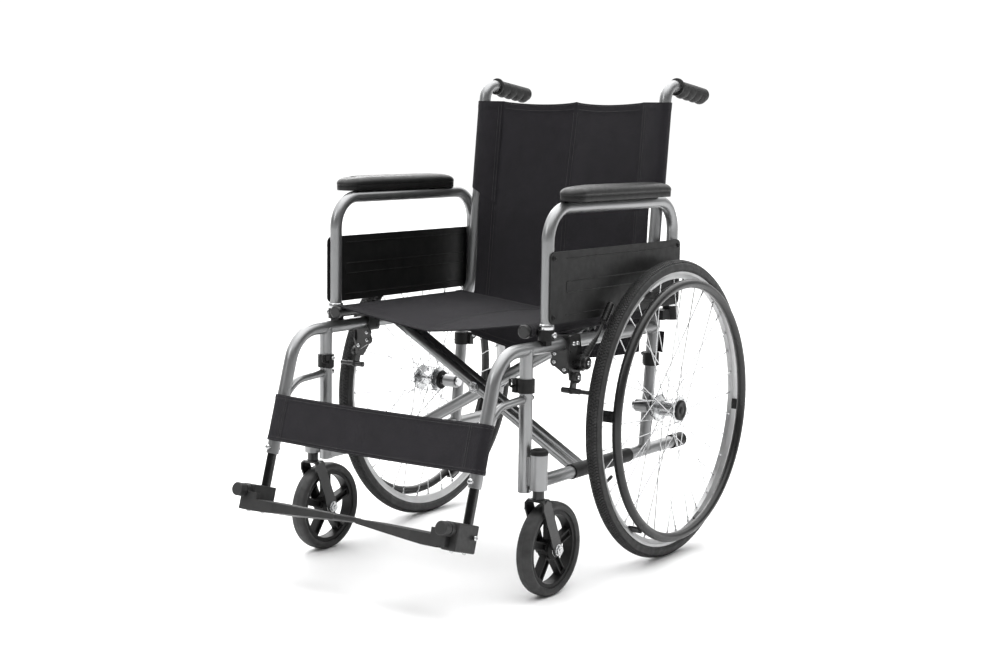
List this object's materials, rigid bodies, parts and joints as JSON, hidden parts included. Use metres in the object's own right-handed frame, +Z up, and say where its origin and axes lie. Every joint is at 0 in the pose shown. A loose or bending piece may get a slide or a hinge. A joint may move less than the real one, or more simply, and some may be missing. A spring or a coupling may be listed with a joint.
{
  "type": "manual wheelchair",
  "caption": "Folding manual wheelchair with sling seat and back, large rear wheels with handrims, swivelling front casters, brakes, armrests and flip-up footplates.",
  "frame": {"origin": "on the floor below the middle of the open chair", "axes": "+X to the user's left, +Y to the rear, +Z up; the user faces -Y"},
  "size_m": [0.6986, 0.992, 0.9767],
  "materials": {
    "silver_frame": "silver metallic lacquer",
    "silver_steel": "bright zinc plate",
    "black_plastic": "fine grain",
    "black_paint": "satin black",
    "grip_rubber": "matt",
    "tyre": "matt",
    "rim": "satin",
    "charcoal_fabric": "woven nylon",
    "pad": "soft grained vinyl",
    "grey_plastic": "fine grain"
  },
  "bodies": {
    "left_frame": {"left_top_tube": "silver_frame", "left_lower_frame": "silver_frame", "left_back_cane": "silver_frame", "left_push_grip": "grip_rubber", "left_frame_fittings": "black_plastic", "left_frame_bolts": "silver_steel", "left_brake_body": "black_paint"},
    "left_brake_lever": {"left_brake_lever": "black_paint"},
    "left_brake_shoe": {"left_brake_shoe": "black_paint"},
    "left_rear_wheel": {"left_rear_tyre": "tyre", "left_rear_rim": "rim", "left_rear_spokes": "silver_steel", "left_rear_hub": "silver_steel", "left_handrim": "black_paint"},
    "left_caster_fork": {"left_caster_fork": "black_paint"},
    "left_caster_wheel": {"left_caster_wheel": "black_plastic", "left_caster_tyre": "tyre"},
    "left_footrest": {"left_footrest_tube": "silver_steel", "left_footrest_block": "grey_plastic"},
    "left_footplate": {"left_footplate": "grey_plastic"},
    "left_armrest": {"left_armrest_frame": "silver_frame", "left_armrest_pad": "pad", "left_side_panel": "black_plastic"},
    "left_back_half": {"left_back_half": "charcoal_fabric"},
    "left_calf_half": {"left_calf_half": "charcoal_fabric"},
    "right_frame": {"right_top_tube": "silver_frame", "right_lower_frame": "silver_frame", "right_back_cane": "silver_frame", "right_push_grip": "grip_rubber", "right_frame_fittings": "black_plastic", "right_frame_bolts": "silver_steel", "right_brake_body": "black_paint"},
    "right_brake_lever": {"right_brake_lever": "black_paint"},
    "right_brake_shoe": {"right_brake_shoe": "black_paint"},
    "right_rear_wheel": {"right_rear_tyre": "tyre", "right_rear_rim": "rim", "right_rear_spokes": "silver_steel", "right_rear_hub": "silver_steel", "right_handrim": "black_paint"},
    "right_caster_fork": {"right_caster_fork": "black_paint"},
    "right_caster_wheel": {"right_caster_wheel": "black_plastic", "right_caster_tyre": "tyre"},
    "right_footrest": {"right_footrest_tube": "silver_steel", "right_footrest_block": "grey_plastic"},
    "right_footplate": {"right_footplate": "grey_plastic"},
    "right_armrest": {"right_armrest_frame": "silver_frame", "right_armrest_pad": "pad", "right_side_panel": "black_plastic"},
    "right_back_half": {"right_back_half": "charcoal_fabric"},
    "right_calf_half": {"right_calf_half": "charcoal_fabric"},
    "cross_arm_a": {"cross_arm_a": "silver_frame", "cross_bolt": "silver_steel", "left_pivot_sleeve": "black_plastic", "right_seat_rail": "black_paint"},
    "cross_arm_b": {"cross_arm_b": "silver_frame", "right_pivot_sleeve": "black_plastic", "left_seat_rail": "black_paint"},
    "left_seat_half": {"left_seat_half": "charcoal_fabric"},
    "right_seat_half": {"right_seat_half": "charcoal_fabric"}
  },
  "joints": [
    {"name": "fold", "type": "hinge", "parent": "left_frame", "child": "cross_arm_a", "pos_m": [0.244, 0.191, 0.21], "axis": [0, 1, 0], "range_deg": [0, 45]},
    {"name": "cross_pivot", "type": "hinge", "parent": "cross_arm_a", "child": "cross_arm_b", "pos_m": [0, 0.191, 0.349], "axis": [0, 1, 0], "range_deg": [-91, 0]},
    {"name": "right_frame_pivot", "type": "hinge", "parent": "cross_arm_b", "child": "right_frame", "pos_m": [-0.244, 0.191, 0.21], "axis": [0, 1, 0], "range_deg": [0, 46]},
    {"name": "left_seat_fold", "type": "hinge", "parent": "cross_arm_b", "child": "left_seat_half", "pos_m": [0.229, 0.191, 0.497], "axis": [0, 1, 0], "range_deg": [-31.52, 0], "deforming": ["left_seat_half"]},
    {"name": "right_seat_fold", "type": "hinge", "parent": "cross_arm_a", "child": "right_seat_half", "pos_m": [-0.229, 0.191, 0.497], "axis": [0, 1, 0], "range_deg": [0, 31.52], "deforming": ["right_seat_half"]},
    {"name": "left_back_fold", "type": "hinge", "parent": "left_frame", "child": "left_back_half", "pos_m": [0.229, 0.22418, 0.41], "axis": [0, 0.1059, 0.9944], "range_deg": [-76.01, 0], "deforming": ["left_back_half"]},
    {"name": "left_calf_fold", "type": "hinge", "parent": "left_frame", "child": "left_calf_half", "pos_m": [0.244, -0.41615, 0.15821], "axis": [0, 0.284, 0.9588], "range_deg": [-73.28, 0], "deforming": ["left_calf_half"]},
    {"name": "left_wheel_spin", "type": "hinge", "parent": "left_frame", "child": "left_rear_wheel", "pos_m": [0.308, 0.191, 0.305], "axis": [1, 0, 0], "continuous": true},
    {"name": "left_caster_swivel", "type": "hinge", "parent": "left_frame", "child": "left_caster_fork", "pos_m": [0.277, -0.238, 0.208], "axis": [0, 0, 1], "continuous": true},
    {"name": "left_caster_spin", "type": "hinge", "parent": "left_caster_fork", "child": "left_caster_wheel", "pos_m": [0.277, -0.2, 0.0895], "axis": [1, 0, 0], "continuous": true},
    {"name": "left_footrest_height", "type": "slide", "parent": "left_frame", "child": "left_footrest", "axis": [0, -0.284, -0.9588], "range_m": [-0.045, 0.06]},
    {"name": "left_footplate_flip", "type": "hinge", "parent": "left_footrest", "child": "left_footplate", "pos_m": [0.244, -0.41615, 0.15821], "axis": [0, 0.9588, -0.284], "range_deg": [0, 91]},
    {"name": "left_brake_lever_pivot", "type": "hinge", "parent": "left_frame", "child": "left_brake_lever", "pos_m": [0.244, -0.087, 0.428], "axis": [1, 0, 0], "range_deg": [0, 50]},
    {"name": "left_brake_shoe_pivot", "type": "hinge", "parent": "left_frame", "child": "left_brake_shoe", "pos_m": [0.244, -0.108, 0.402], "axis": [1, 0, 0], "range_deg": [0, 15.5]},
    {"name": "left_armrest_lift", "type": "slide", "parent": "left_frame", "child": "left_armrest", "axis": [0, 0, 1], "range_m": [0, 0.12]},
    {"name": "right_back_fold", "type": "hinge", "parent": "right_frame", "child": "right_back_half", "pos_m": [-0.229, 0.22418, 0.41], "axis": [0, 0.1059, 0.9944], "range_deg": [0, 76.01], "deforming": ["right_back_half"]},
    {"name": "right_calf_fold", "type": "hinge", "parent": "right_frame", "child": "right_calf_half", "pos_m": [-0.244, -0.41615, 0.15821], "axis": [0, 0.284, 0.9588], "range_deg": [0, 73.28], "deforming": ["right_calf_half"]},
    {"name": "right_wheel_spin", "type": "hinge", "parent": "right_frame", "child": "right_rear_wheel", "pos_m": [-0.308, 0.191, 0.305], "axis": [1, 0, 0], "continuous": true},
    {"name": "right_caster_swivel", "type": "hinge", "parent": "right_frame", "child": "right_caster_fork", "pos_m": [-0.277, -0.238, 0.208], "axis": [0, 0, 1], "continuous": true},
    {"name": "right_caster_spin", "type": "hinge", "parent": "right_caster_fork", "child": "right_caster_wheel", "pos_m": [-0.277, -0.2, 0.0895], "axis": [1, 0, 0], "continuous": true},
    {"name": "right_footrest_height", "type": "slide", "parent": "right_frame", "child": "right_footrest", "axis": [0, -0.284, -0.9588], "range_m": [-0.045, 0.06]},
    {"name": "right_footplate_flip", "type": "hinge", "parent": "right_footrest", "child": "right_footplate", "pos_m": [-0.244, -0.41615, 0.15821], "axis": [0, 0.9588, -0.284], "range_deg": [-91, 0]},
    {"name": "right_brake_lever_pivot", "type": "hinge", "parent": "right_frame", "child": "right_brake_lever", "pos_m": [-0.244, -0.087, 0.428], "axis": [1, 0, 0], "range_deg": [0, 50]},
    {"name": "right_brake_shoe_pivot", "type": "hinge", "parent": "right_frame", "child": "right_brake_shoe", "pos_m": [-0.244, -0.108, 0.402], "axis": [1, 0, 0], "range_deg": [0, 15.5]},
    {"name": "right_armrest_lift", "type": "slide", "parent": "right_frame", "child": "right_armrest", "axis": [0, 0, 1], "range_m": [0, 0.12]}
  ],
  "couplings": [
    {"joint": "cross_pivot", "follows": "fold", "ratio": -2},
    {"joint": "right_frame_pivot", "follows": "fold", "ratio": 1},
    {"joint": "left_seat_fold", "follows": "fold", "ratio": -0.67813},
    {"joint": "right_seat_fold", "follows": "fold", "ratio": 0.67813},
    {"joint": "left_back_fold", "follows": "fold", "ratio": -1.6668},
    {"joint": "left_calf_fold", "follows": "fold", "ratio": -1.6063},
    {"joint": "left_footplate_flip", "follows": "fold", "ratio": 2},
    {"joint": "left_brake_shoe_pivot", "follows": "left_brake_lever_pivot", "ratio": 0.29},
    {"joint": "right_back_fold", "follows": "fold", "ratio": 1.6668},
    {"joint": "right_calf_fold", "follows": "fold", "ratio": 1.6063},
    {"joint": "right_footplate_flip", "follows": "fold", "ratio": -2},
    {"joint": "right_brake_shoe_pivot", "follows": "right_brake_lever_pivot", "ratio": 0.29}
  ]
}
